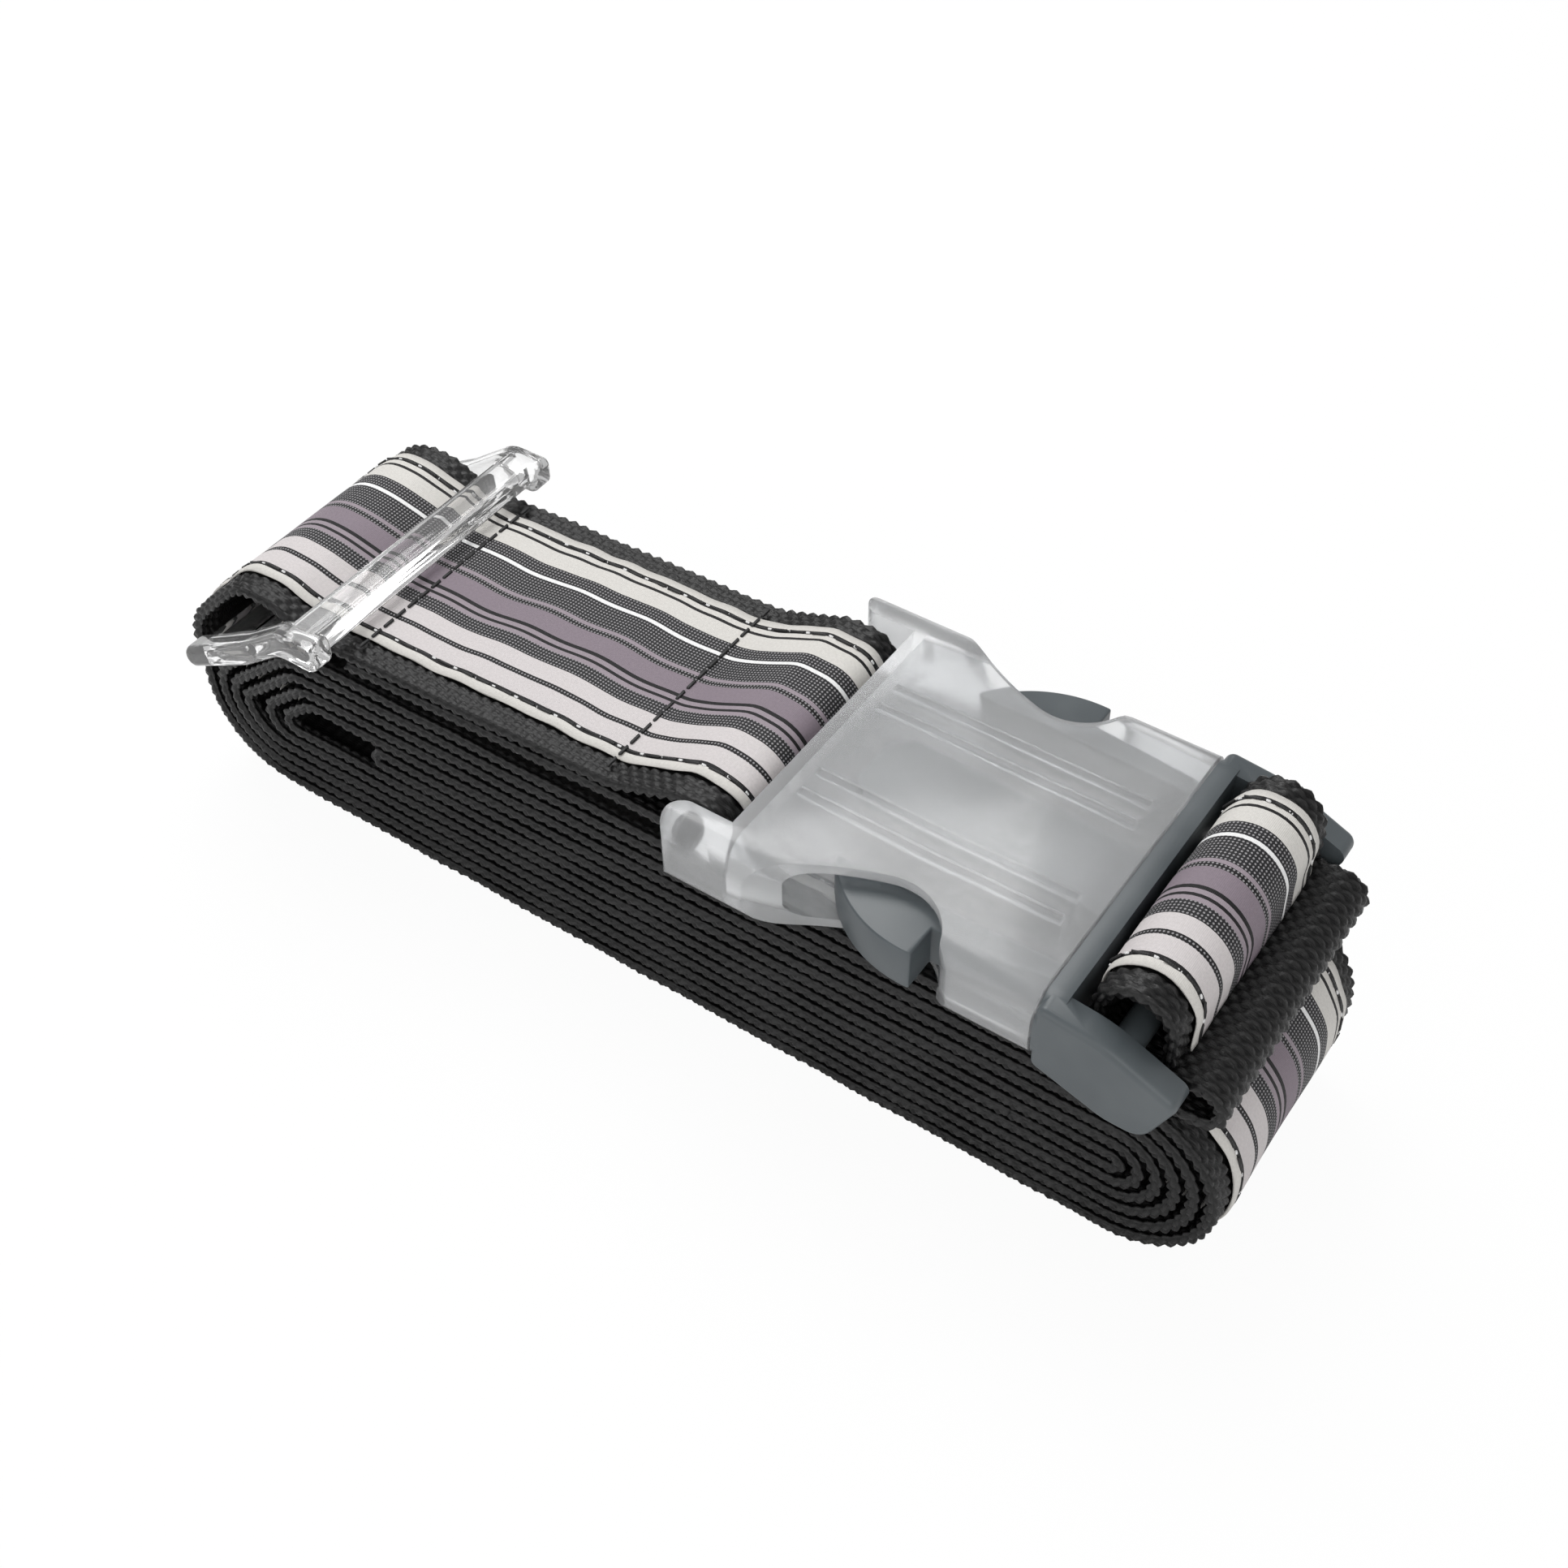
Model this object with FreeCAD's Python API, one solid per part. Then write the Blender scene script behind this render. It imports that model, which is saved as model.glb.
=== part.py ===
import FreeCAD, Part
import math
import os

os.makedirs("parts", exist_ok=True)

# A belt of sewn webbing, rolled up flat, with its side-release buckle closed on top of the roll.
# Millimetres.  +X runs along the roll towards the plug, +Y across the webbing, +Z up.
# The origin is the centre of the roll's length and width, on the surface that it lies on.

# ---- webbing and ribbon ----
WEBBING_WIDTH = 50.0
WEBBING_THICKNESS = 2.4
RIBBON_WIDTH = 40.0
RIBBON_THICKNESS = 0.35
SEWN_GAP = 0.1            # air between the webbing and the ribbon sewn on it
LAYER_GAP = 0.2           # air between one layer of the roll and the next
ROLL_LENGTH = 210.0
BUCKLE_FROM_RIGHT = 86.0  # right end of the roll to the rear edge of the socket's plates

# ---- left end of the roll ----
SIDE_GAP = 0.15           # how much looser the layers lie there than in the runs
CORNER_RADIUS = 7.85      # third layer in, where the left side turns into the underside
SHOULDER_SLOPE = 40.0     # degrees, the side of the inner layers under the slide adjuster
SHOULDER_START = 23.0     # from the left end of the roll to the top of that slope
SHOULDER_RADIUS = 2.9     # third layer in, where the slope turns into the side
BROW_RADIUS = 8.0         # where a top run turns into the slope
INNER_TURNS = {4: 1.5, 5: 0.75}   # radius in layers, where the inner slopes meet the lower runs
HAIRPIN_FROM_LEFT = 45.0  # the hidden middle of the belt, where it folds back on itself

# ---- slide adjuster ----
GLIDE_BAR_WIDTH = 7.4
GLIDE_BAR_HEIGHT = 4.4
GLIDE_BAR_FROM_LEFT = 37.0   # centre of the bar that lies over the webbing
GLIDE_RAIL_WIDTH = 5.4
GLIDE_RAIL_HEIGHT = 5.6
GLIDE_ROD_RADIUS = 1.6       # middle bar, under the webbing
GLIDE_TAIL_RADIUS = 2.0      # far bar, under the webbing
GLIDE_ARCH = 3.6             # how far the webbing rises over the middle bar
GLIDE_SIDE_GAP = 1.6         # webbing edge to rail

# ---- socket half of the buckle ----
SOCKET_LENGTH = 54.6         # mouth to rear edge of the plates
SOCKET_HEIGHT = 14.0
SOCKET_WALL = 1.8
SOCKET_REST_GAP = 0.6        # underside of the buckle above the roll
SOCKET_CORNER = 5.0
EAR_LENGTH = 10.5
EAR_WIDTH = 6.6
EAR_ROUND = 3.0
SOCKET_BAR_RADIUS = 2.5
SOCKET_BAR_FROM_PLATE = 7.0
BAR_GAP = 0.3                # air round a bar in its webbing loop
WEBBING_SIDE_GAP = 0.9       # webbing edge to the buckle's inner side
WINDOW_START = 6.0           # from the plates' rear edge to where the side begins to curve in
WINDOW_END = 38.0            # to the catch column, from the same edge
WINDOW_DEEPEST = 26.0
WINDOW_DEPTH = 9.2           # how far the curve reaches in from the side of the mouth
COLUMN_INSET = 2.6
GUIDE_WIDTH = 1.5
GUIDE_HEIGHT = 1.0
GUIDE_OFFSETS = (8.75, 13.75)

# ---- plug half ----
MOUTH_GAP = 0.4
FLANGE_THICKNESS = 3.4
TONGUE_WIDTH = 14.6
TONGUE_THICKNESS = 4.0
TONGUE_TIP_GAP = 6.8         # from the socket's rear wall
ARM_THICKNESS = 3.4
ARM_HEIGHT = 8.0
ARM_ROOT_INSET = 8.9         # from the side of the mouth
ARM_ROOT_RADIUS = 1.7
ARM_ROOT_GAP = 0.3
LOBE_LENGTH = 18.8
LOBE_GAP = 1.0               # lobe's square end to the catch column
LOBE_OVERHANG = 0.1          # lobe's widest point inside the side of the mouth
RAIL_WIDTH = 4.7
RAIL_SIDE_GAP = 0.1          # the rails stand a little wider apart than the ears
RAIL_LENGTH = 23.3
RAIL_DROP = 4.0              # how far the rail hangs beside the roll
ADJUSTER_BAR_RADIUS = 2.4
ADJUSTER_BAR_FROM_FLANGE = 9.0

# ---- webbing at the plug ----
LOOP_RADIUS = 5.85           # middle of the webbing, round the adjuster bar
LOOP_FROM_FLANGE = 3.25      # flange to the middle of the webbing that goes down the slot
LOOP_RISE = 7.2              # centre of that loop above the webbing that leaves under the bar
SLOT_TURN_RADIUS = 3.0
TAIL_GAP = 0.4
FOLD_RADIUS = 3.55           # where the webbing turns back under the plug
FOLD_FROM_RIGHT = 3.65       # end of that fold to the right end of the roll
STRAND_CUT = 5.0             # plates' rear edge to the joint between the plug's strand and the roll
STRAND_CUT_GAP = 0.5

# ---- seams across the webbing ----
BUCKLE_SEAM_FROM_BAR = 15.0
GLIDE_SEAM_FROM_BAR = 6.6
TAIL_END_FROM_SEAM = 2.5
SEAM_STITCHES = 15
STITCH_LENGTH = 2.4
STITCH_WIDTH = 0.7
STITCH_HEIGHT = 0.35
STITCH_GAP = 0.05

# ---- worked out from the sizes above ----
HALF_WEBBING = WEBBING_THICKNESS / 2
RIBBON_INNER = HALF_WEBBING + SEWN_GAP
RIBBON_OUTER = RIBBON_INNER + RIBBON_THICKNESS
PITCH = HALF_WEBBING + RIBBON_OUTER + LAYER_GAP
SIDE_PITCH = PITCH + SIDE_GAP
BOTTOM = RIBBON_OUTER
LEFT = -ROLL_LENGTH / 2 + RIBBON_OUTER
BOTTOM_RUNS = 6
TOP_RUNS = 7
OUTER_TURN = PITCH * (BOTTOM_RUNS - 0.5)
TURN_X = ROLL_LENGTH / 2 - RIBBON_OUTER - OUTER_TURN
SLOPE = math.radians(SHOULDER_SLOPE)


def bottom_run(layer):
    """Height of a lower run of the roll, 0 being the outermost."""
    return BOTTOM + PITCH * layer


def top_run(layer):
    """Height of an upper run of the roll, 0 being the one under the buckle."""
    return BOTTOM + PITCH * (BOTTOM_RUNS + TOP_RUNS - 1 - layer)


ROLL_TOP = top_run(0) + RIBBON_OUTER
SOCKET_BOTTOM = ROLL_TOP + SOCKET_REST_GAP
SOCKET_TOP = SOCKET_BOTTOM + SOCKET_HEIGHT
SOCKET_MIDDLE = (SOCKET_BOTTOM + SOCKET_TOP) / 2
PLATE_REAR = ROLL_LENGTH / 2 - BUCKLE_FROM_RIGHT
MOUTH = PLATE_REAR + SOCKET_LENGTH
BAR_X = PLATE_REAR - SOCKET_BAR_FROM_PLATE
BAR_Z = SOCKET_MIDDLE + 0.5
BAR_LOOP = SOCKET_BAR_RADIUS + BAR_GAP + HALF_WEBBING
BUCKLE_INNER = WEBBING_WIDTH / 2 + WEBBING_SIDE_GAP
SOCKET_HALF = BUCKLE_INNER + RAIL_SIDE_GAP + RAIL_WIDTH
SOCKET_WIDTH = 2 * SOCKET_HALF


def vector(x, z):
    return FreeCAD.Vector(x, 0, z)


def left_of(direction):
    """Normal on the left of a direction in the XZ plane, seen with X right and Z up."""
    return FreeCAD.Vector(-direction.z, 0, direction.x)


def rounded_path(corners):
    """Runs joined by tangent arcs.  Each corner is (x, z, radius); each piece is (point, normal) pairs."""
    points = [vector(x, z) for x, z, radius in corners]
    pieces = []
    start = points[0]
    for number in range(1, len(points) - 1):
        corner = points[number]
        radius = corners[number][2]
        into = (corner - points[number - 1]).normalize()
        out = (points[number + 1] - corner).normalize()
        turn = math.atan2(into.x * out.z - into.z * out.x, into.dot(out))
        side = math.copysign(1, turn)
        reach = radius * math.tan(abs(turn) / 2)
        begin = corner - into * reach
        end = corner + out * reach
        if (begin - start).dot(into) < -0.001:
            raise ValueError("corner %d at %.1f, %.1f has too little room" % (number, corner.x, corner.z))
        if (begin - start).Length > 0.001:
            pieces.append([(start, left_of(into)), (begin, left_of(into))])
        centre = begin + left_of(into) * radius * side
        middle = (left_of(into) + left_of(out)).normalize()
        pieces.append([
            (begin, left_of(into)),
            (centre - middle * radius * side, middle),
            (end, left_of(out)),
        ])
        start = end
    last = (points[-1] - points[-2]).normalize()
    pieces.append([(start, left_of(last)), (points[-1], left_of(last))])
    return pieces


def edge_through(points):
    if len(points) == 2:
        return Part.LineSegment(*points).toShape()
    return Part.Arc(*points).toShape()


def strip(pieces, near, far, width):
    """Solid between two offsets to the left of a path, centred on y = 0."""
    there = [[p + n * near for p, n in piece] for piece in pieces]
    back = [[p + n * far for p, n in reversed(piece)] for piece in reversed(pieces)]
    edges = [edge_through(points) for points in there]
    edges.append(edge_through([there[-1][-1], back[0][0]]))
    edges += [edge_through(points) for points in back]
    edges.append(edge_through([back[-1][-1], there[0][0]]))
    face = Part.Face(Part.Wire(edges))
    solid = face.extrude(FreeCAD.Vector(0, width, 0))
    solid.translate(FreeCAD.Vector(0, -width / 2, 0))
    return solid


def webbing(pieces):
    return strip(pieces, -HALF_WEBBING, HALF_WEBBING, WEBBING_WIDTH)


def ribbon_on_right(pieces):
    return strip(pieces, -RIBBON_OUTER, -RIBBON_INNER, RIBBON_WIDTH)


def ribbon_on_left(pieces):
    return strip(pieces, RIBBON_INNER, RIBBON_OUTER, RIBBON_WIDTH)


def right_turn(low, high):
    """The two corners of a half turn at the right end of the roll, going up."""
    radius = (high - low) / 2
    return [(TURN_X + radius, low, radius), (TURN_X + radius, high, radius)]


# ---- left end of each layer: 0 outermost, then alternately the other strand and this one ----
def side_x(layer):
    return LEFT + SIDE_PITCH * layer


def slope_height(layer, x):
    """Height of a layer's slope at x, counted from layer 1."""
    inward = SIDE_PITCH * (layer - 1) / math.cos(SLOPE)
    brow = -ROLL_LENGTH / 2 + SHOULDER_START
    return top_run(0) + (x - brow) * math.tan(SLOPE) - inward


def slope_x(layer, z):
    return side_x(0) + (z - slope_height(layer, side_x(0))) / math.tan(SLOPE)


def left_end(layer):
    """Corners from the upper run, down the slope and side, to the lower run."""
    upper = top_run(layer - 1)
    lower = bottom_run(layer)
    brow = (slope_x(layer, upper), upper, BROW_RADIUS)
    if layer <= 3:
        x = side_x(layer)
        shoulder = SHOULDER_RADIUS + PITCH * (3 - layer)
        return [
            brow,
            (x, slope_height(layer, x), shoulder),
            (x, lower, CORNER_RADIUS + PITCH * (3 - layer)),
        ]
    return [brow, (slope_x(layer, lower), lower, INNER_TURNS[layer] * PITCH)]


# ---- outer top run, from the socket's bar to the left end ----
GLIDE_X = -ROLL_LENGTH / 2 + GLIDE_BAR_FROM_LEFT
DIP_X = GLIDE_X - GLIDE_BAR_WIDTH / 2 - 0.8
DIP_Z = ROLL_TOP + WEBBING_THICKNESS + LAYER_GAP + HALF_WEBBING + 1.1
CREST_Z = DIP_Z + GLIDE_ARCH
SEAM_X = BAR_X - BUCKLE_SEAM_FROM_BAR
GLIDE_SEAM_X = GLIDE_X + GLIDE_SEAM_FROM_BAR
SEAM_Z = BAR_Z - 1.2
TAIL_DROP = WEBBING_THICKNESS + LAYER_GAP
HAIRPIN_X = -ROLL_LENGTH / 2 + HAIRPIN_FROM_LEFT


def outer_height(x):
    """Middle of the outer top run between the two seams."""
    share = (x - DIP_X) / (SEAM_X - DIP_X)
    return DIP_Z + (SEAM_Z - DIP_Z) * share


tail_x = GLIDE_SEAM_X - TAIL_END_FROM_SEAM
fold_under_bar = [
    (tail_x, outer_height(tail_x) - TAIL_DROP, 0),
    (SEAM_X, SEAM_Z - TAIL_DROP, 60),
    (BAR_X - 4.0, BAR_Z - BAR_LOOP, 12),
    (BAR_X + BAR_LOOP, BAR_Z - BAR_LOOP, BAR_LOOP),
    (BAR_X + BAR_LOOP, BAR_Z + BAR_LOOP, BAR_LOOP),
    (BAR_X - 4.5, BAR_Z + BAR_LOOP, 6),
    (SEAM_X - 3.0, outer_height(SEAM_X - 3.0), 10),
]
outer_left = [
    (DIP_X, DIP_Z, 8),
    (DIP_X - 8.5, CREST_Z, 12),
    (LEFT + 14.4, CREST_Z, 10),
    (LEFT, CREST_Z - 14.4, 13),
    (LEFT, BOTTOM, CORNER_RADIUS + PITCH * 3),
]
strand_a = (
    fold_under_bar + outer_left + right_turn(bottom_run(0), top_run(1))
    + left_end(2) + right_turn(bottom_run(2), top_run(3))
    + left_end(4) + right_turn(bottom_run(4), top_run(5))
)
strand_b = (
    left_end(1) + right_turn(bottom_run(1), top_run(2))
    + left_end(3) + right_turn(bottom_run(3), top_run(4))
    + left_end(5) + right_turn(bottom_run(5), top_run(6))
)
fold_radius = PITCH / 2
fold_in_middle = [
    (HAIRPIN_X - fold_radius, top_run(5), fold_radius),
    (HAIRPIN_X - fold_radius, top_run(6), fold_radius),
]
joint_x = PLATE_REAR - STRAND_CUT
roll_end = (joint_x, top_run(0), 0)
whole_strand = strand_a + fold_in_middle + strand_b[::-1] + [roll_end]
ribbon_clear = 3.0
ribbon_a = strand_a + [(HAIRPIN_X + ribbon_clear, top_run(5), 0)]
ribbon_b = [(HAIRPIN_X + ribbon_clear, top_run(6), 0)] + strand_b[::-1] + [roll_end]

webbing_main = webbing(rounded_path(whole_strand))
ribbon_main = Part.makeCompound([
    ribbon_on_right(rounded_path(ribbon_a)),
    ribbon_on_left(rounded_path(ribbon_b)),
])

# ---- the plug's own strand: over the adjuster bar, back under it, and down onto the roll ----
FLANGE_FRONT = MOUTH + MOUTH_GAP
FLANGE_REAR = FLANGE_FRONT + FLANGE_THICKNESS
UNDER_BAR_Z = top_run(0) + 2 * FOLD_RADIUS
SLOT_X = FLANGE_REAR + LOOP_FROM_FLANGE
LOOP_TOP = UNDER_BAR_Z + LOOP_RISE + LOOP_RADIUS
FOLD_X = ROLL_LENGTH / 2 - FOLD_FROM_RIGHT
adjuster_path = rounded_path([
    (SLOT_X + 2 * LOOP_RADIUS, UNDER_BAR_Z + HALF_WEBBING + TAIL_GAP, 0),
    (SLOT_X + 2 * LOOP_RADIUS, LOOP_TOP, LOOP_RADIUS),
    (SLOT_X, LOOP_TOP, LOOP_RADIUS),
    (SLOT_X, UNDER_BAR_Z, SLOT_TURN_RADIUS),
    (FOLD_X, UNDER_BAR_Z, FOLD_RADIUS),
    (FOLD_X, top_run(0), FOLD_RADIUS),
    (joint_x + STRAND_CUT_GAP, top_run(0), 0),
])
webbing_adjuster = webbing(adjuster_path)
ribbon_adjuster = ribbon_on_right(adjuster_path)


def rounded_box(x0, x1, width, z0, z1, radius):
    """A bar along X whose section has rounded corners."""
    box = Part.makeBox(x1 - x0, width, z1 - z0, FreeCAD.Vector(x0, -width / 2, z0))
    along = [e for e in box.Edges if abs(e.BoundBox.XLength - (x1 - x0)) < 0.001]
    return box.makeFillet(radius, along)


def flat_outline(points, z0, z1):
    """Extruded plan: a 2-tuple is a corner, and a 4-tuple an arc through its first point to its second."""
    edges = []
    start = FreeCAD.Vector(points[0][0], points[0][1], z0)
    for point in points[1:]:
        end = FreeCAD.Vector(point[-2], point[-1], z0)
        if len(point) == 2:
            edges.append(Part.LineSegment(start, end).toShape())
        else:
            through = FreeCAD.Vector(point[0], point[1], z0)
            edges.append(Part.Arc(start, through, end).toShape())
        start = end
    return Part.Face(Part.Wire(edges)).extrude(FreeCAD.Vector(0, 0, z1 - z0))


def mirrored(shape):
    return shape.mirror(FreeCAD.Vector(0, 0, 0), FreeCAD.Vector(0, 1, 0))


def rod(x, z, radius, width):
    return Part.makeCylinder(radius, width, FreeCAD.Vector(x, -width / 2, z), FreeCAD.Vector(0, 1, 0))


# ---- socket ----
EAR_OUTER = BUCKLE_INNER + EAR_WIDTH
ear_rear = PLATE_REAR - EAR_LENGTH
column_x = PLATE_REAR + WINDOW_END
window_deepest_x = PLATE_REAR + WINDOW_DEEPEST
window_floor = SOCKET_HALF - WINDOW_DEPTH
half_plan = [
    (PLATE_REAR, 0),
    (PLATE_REAR, BUCKLE_INNER),
    (ear_rear + EAR_ROUND, BUCKLE_INNER),
    (ear_rear, BUCKLE_INNER + EAR_ROUND, ear_rear + EAR_ROUND, EAR_OUTER),
    (PLATE_REAR + WINDOW_START, EAR_OUTER),
    (PLATE_REAR + 0.58 * WINDOW_DEEPEST, window_floor + 0.5 * WINDOW_DEPTH, window_deepest_x, window_floor),
    (column_x - 3.8, window_floor + 1.3, column_x, SOCKET_HALF - COLUMN_INSET),
    (column_x + 3.0, SOCKET_HALF),
    (MOUTH, SOCKET_HALF),
    (MOUTH, 0),
    (PLATE_REAR, 0),
]
half_socket = flat_outline(half_plan, SOCKET_BOTTOM, SOCKET_TOP)
envelope = rounded_box(ear_rear - 1, MOUTH + 1, 2 * EAR_OUTER, SOCKET_BOTTOM, SOCKET_TOP, SOCKET_CORNER)
mouth_envelope = rounded_box(
    window_deepest_x, MOUTH + 1, SOCKET_WIDTH, SOCKET_BOTTOM, SOCKET_TOP, SOCKET_CORNER)
ear_envelope = envelope.common(
    Part.makeBox(window_deepest_x - ear_rear + 1, 200, 100, FreeCAD.Vector(ear_rear - 1, -100, 0)))
cavity_low = SOCKET_BOTTOM + SOCKET_WALL
cavity_high = SOCKET_TOP - SOCKET_WALL
cavity = rounded_box(
    PLATE_REAR + SOCKET_WALL, MOUTH + 1, SOCKET_WIDTH - 2 * SOCKET_WALL - 0.4,
    cavity_low, cavity_high, SOCKET_CORNER - SOCKET_WALL)
socket_shell = half_socket.fuse(mirrored(half_socket)).removeSplitter()
socket_shell = socket_shell.common(ear_envelope.fuse(mouth_envelope)).cut(cavity)
guides = []
for offset in GUIDE_OFFSETS:
    for y in (-offset, offset):
        for z in (cavity_low - 0.2, cavity_high - GUIDE_HEIGHT):
            guides.append(Part.makeBox(
                SOCKET_LENGTH - 8.6, GUIDE_WIDTH, GUIDE_HEIGHT + 0.2,
                FreeCAD.Vector(PLATE_REAR + 4, y - GUIDE_WIDTH / 2, z)))
socket_bar = rod(BAR_X, BAR_Z, SOCKET_BAR_RADIUS, 2 * BUCKLE_INNER + EAR_WIDTH)
socket = socket_shell.fuse(guides + [socket_bar]).removeSplitter()

# ---- plug ----
flange = rounded_box(
    FLANGE_FRONT, FLANGE_REAR, SOCKET_WIDTH, SOCKET_BOTTOM + 0.3, SOCKET_TOP - 0.4, SOCKET_CORNER)
tongue_tip = PLATE_REAR + SOCKET_WALL + TONGUE_TIP_GAP
tongue_low = SOCKET_MIDDLE - TONGUE_THICKNESS / 2
tongue_half = TONGUE_WIDTH / 2
tongue = flat_outline([
    (FLANGE_FRONT + 1, -tongue_half),
    (tongue_tip + 3, -tongue_half),
    (tongue_tip, -tongue_half + 3),
    (tongue_tip, tongue_half - 3),
    (tongue_tip + 3, tongue_half),
    (FLANGE_FRONT + 1, tongue_half),
    (FLANGE_FRONT + 1, -tongue_half),
], tongue_low, tongue_low + TONGUE_THICKNESS)
ADJUSTER_BAR_X = FLANGE_REAR + ADJUSTER_BAR_FROM_FLANGE
ADJUSTER_BAR_Z = UNDER_BAR_Z + HALF_WEBBING + BAR_GAP + 0.1 + ADJUSTER_BAR_RADIUS
rail_tip = FLANGE_FRONT + RAIL_LENGTH
rail_low = SOCKET_BOTTOM - RAIL_DROP
rail_profile = rounded_path([
    (FLANGE_FRONT, SOCKET_TOP - 3.0, 0),
    (FLANGE_FRONT, SOCKET_TOP - 0.4, 1.5),
    (ADJUSTER_BAR_X - 2, SOCKET_TOP - 1.5, 20),
    (rail_tip, SOCKET_MIDDLE - 0.3, 2),
    (rail_tip - 4.6, rail_low, 4),
    (rail_tip - 11, rail_low, 10),
    (FLANGE_FRONT, SOCKET_BOTTOM + 0.3, 1.5),
    (FLANGE_FRONT, SOCKET_TOP - 3.0, 0),
])
rail_edges = [edge_through([p for p, n in piece]) for piece in rail_profile]
rail = Part.Face(Part.Wire(rail_edges)).extrude(FreeCAD.Vector(0, RAIL_WIDTH, 0))
rail.translate(FreeCAD.Vector(0, SOCKET_HALF - RAIL_WIDTH, 0))
rail_outer_edges = [e for e in rail.Edges if e.BoundBox.YMin > SOCKET_HALF - 0.01]
rail = rail.makeFillet(1.2, rail_outer_edges)
adjuster_bar = rod(ADJUSTER_BAR_X, ADJUSTER_BAR_Z, ADJUSTER_BAR_RADIUS, SOCKET_WIDTH - RAIL_WIDTH)
plug = flange.fuse([tongue, rail, mirrored(rail), adjuster_bar]).removeSplitter()

# ---- latch arms ----
ARM_ROOT_OFFSET = SOCKET_HALF - ARM_ROOT_INSET
ARM_ROOT_X = FLANGE_FRONT - ARM_ROOT_GAP - ARM_ROOT_RADIUS
lobe_rear = column_x - LOBE_GAP - 2.4
lobe_outer = SOCKET_HALF - LOBE_OVERHANG
arm_inner = ARM_ROOT_OFFSET - ARM_ROOT_RADIUS
arm_low = SOCKET_MIDDLE - ARM_HEIGHT / 2
lobe_tip = lobe_rear - LOBE_LENGTH
arm = flat_outline([
    (ARM_ROOT_X, arm_inner),
    (ARM_ROOT_X + ARM_ROOT_RADIUS, ARM_ROOT_OFFSET, ARM_ROOT_X, ARM_ROOT_OFFSET + ARM_ROOT_RADIUS),
    (lobe_rear, arm_inner + ARM_THICKNESS + 1.0),
    (lobe_rear, lobe_outer),
    (lobe_rear - 0.52 * LOBE_LENGTH, lobe_outer - 1.7, lobe_tip, arm_inner + 1.5),
    (lobe_tip - 0.4, arm_inner + 0.6, lobe_tip + 1.0, arm_inner),
    (ARM_ROOT_X, arm_inner),
], arm_low, arm_low + ARM_HEIGHT)
latch_arm_far = arm
latch_arm_near = mirrored(arm)

# ---- slide adjuster ----
rail_inner = WEBBING_WIDTH / 2 + GLIDE_SIDE_GAP
glide_half = rail_inner + GLIDE_RAIL_WIDTH
glide_bar_low = outer_height(GLIDE_X) + RIBBON_OUTER + BAR_GAP + 0.3
glide_bar_top = glide_bar_low + GLIDE_BAR_HEIGHT
rod_x = DIP_X - 9.0
rod_z = ROLL_TOP + BAR_GAP + 0.2 + GLIDE_ROD_RADIUS
tail_rod_x = LEFT + 7.2
tail_rod_z = slope_height(1, tail_rod_x) + (RIBBON_OUTER + GLIDE_TAIL_RADIUS + 1.0) / math.cos(SLOPE)
half_rail = GLIDE_RAIL_HEIGHT / 2
glide_middle = [
    (GLIDE_X + GLIDE_BAR_WIDTH / 2, glide_bar_top - half_rail),
    (GLIDE_X - GLIDE_BAR_WIDTH / 2, glide_bar_top - half_rail),
    (rod_x, rod_z - 0.4),
    (tail_rod_x, tail_rod_z),
]
upper_line = [(x, z + half_rail) for x, z in glide_middle]
lower_line = [(x, z - half_rail) for x, z in reversed(glide_middle)]
end_x = glide_middle[-1][0] - 1.2
front_x = glide_middle[0][0] + 1.0
glide_corners = [
    (front_x, glide_bar_top - half_rail, 0),
    (front_x, upper_line[0][1], 1.6),
    upper_line[1] + (6,),
    upper_line[2] + (14,),
    (end_x - 1.0, upper_line[3][1] - 0.6, 2.2),
    (end_x - 1.0, lower_line[0][1] + 0.2, 2.0),
    lower_line[1] + (12,),
    lower_line[2] + (6,),
    (front_x, lower_line[3][1], 1.6),
    (front_x, glide_bar_top - half_rail, 0),
]
glide_edges = [edge_through([p for p, n in piece]) for piece in rounded_path(glide_corners)]
glide_rail = Part.Face(Part.Wire(glide_edges)).extrude(FreeCAD.Vector(0, GLIDE_RAIL_WIDTH, 0))
glide_rail.translate(FreeCAD.Vector(0, rail_inner, 0))
glide_rail = glide_rail.makeFillet(1.3, [e for e in glide_rail.Edges if e.BoundBox.YLength < 0.01])
glide_bar = Part.makeBox(
    GLIDE_BAR_WIDTH, 2 * rail_inner + GLIDE_RAIL_WIDTH, GLIDE_BAR_HEIGHT,
    FreeCAD.Vector(GLIDE_X - GLIDE_BAR_WIDTH / 2, -rail_inner - GLIDE_RAIL_WIDTH / 2, glide_bar_low))
glide_bar = glide_bar.makeFillet(1.6, [e for e in glide_bar.Edges if e.BoundBox.YLength > 1])
rod_width = 2 * rail_inner + GLIDE_RAIL_WIDTH
tri_glide = glide_bar.fuse([
    glide_rail,
    mirrored(glide_rail),
    rod(rod_x, rod_z, GLIDE_ROD_RADIUS, rod_width),
    rod(tail_rod_x, tail_rod_z, GLIDE_TAIL_RADIUS, rod_width),
]).removeSplitter()


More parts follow.
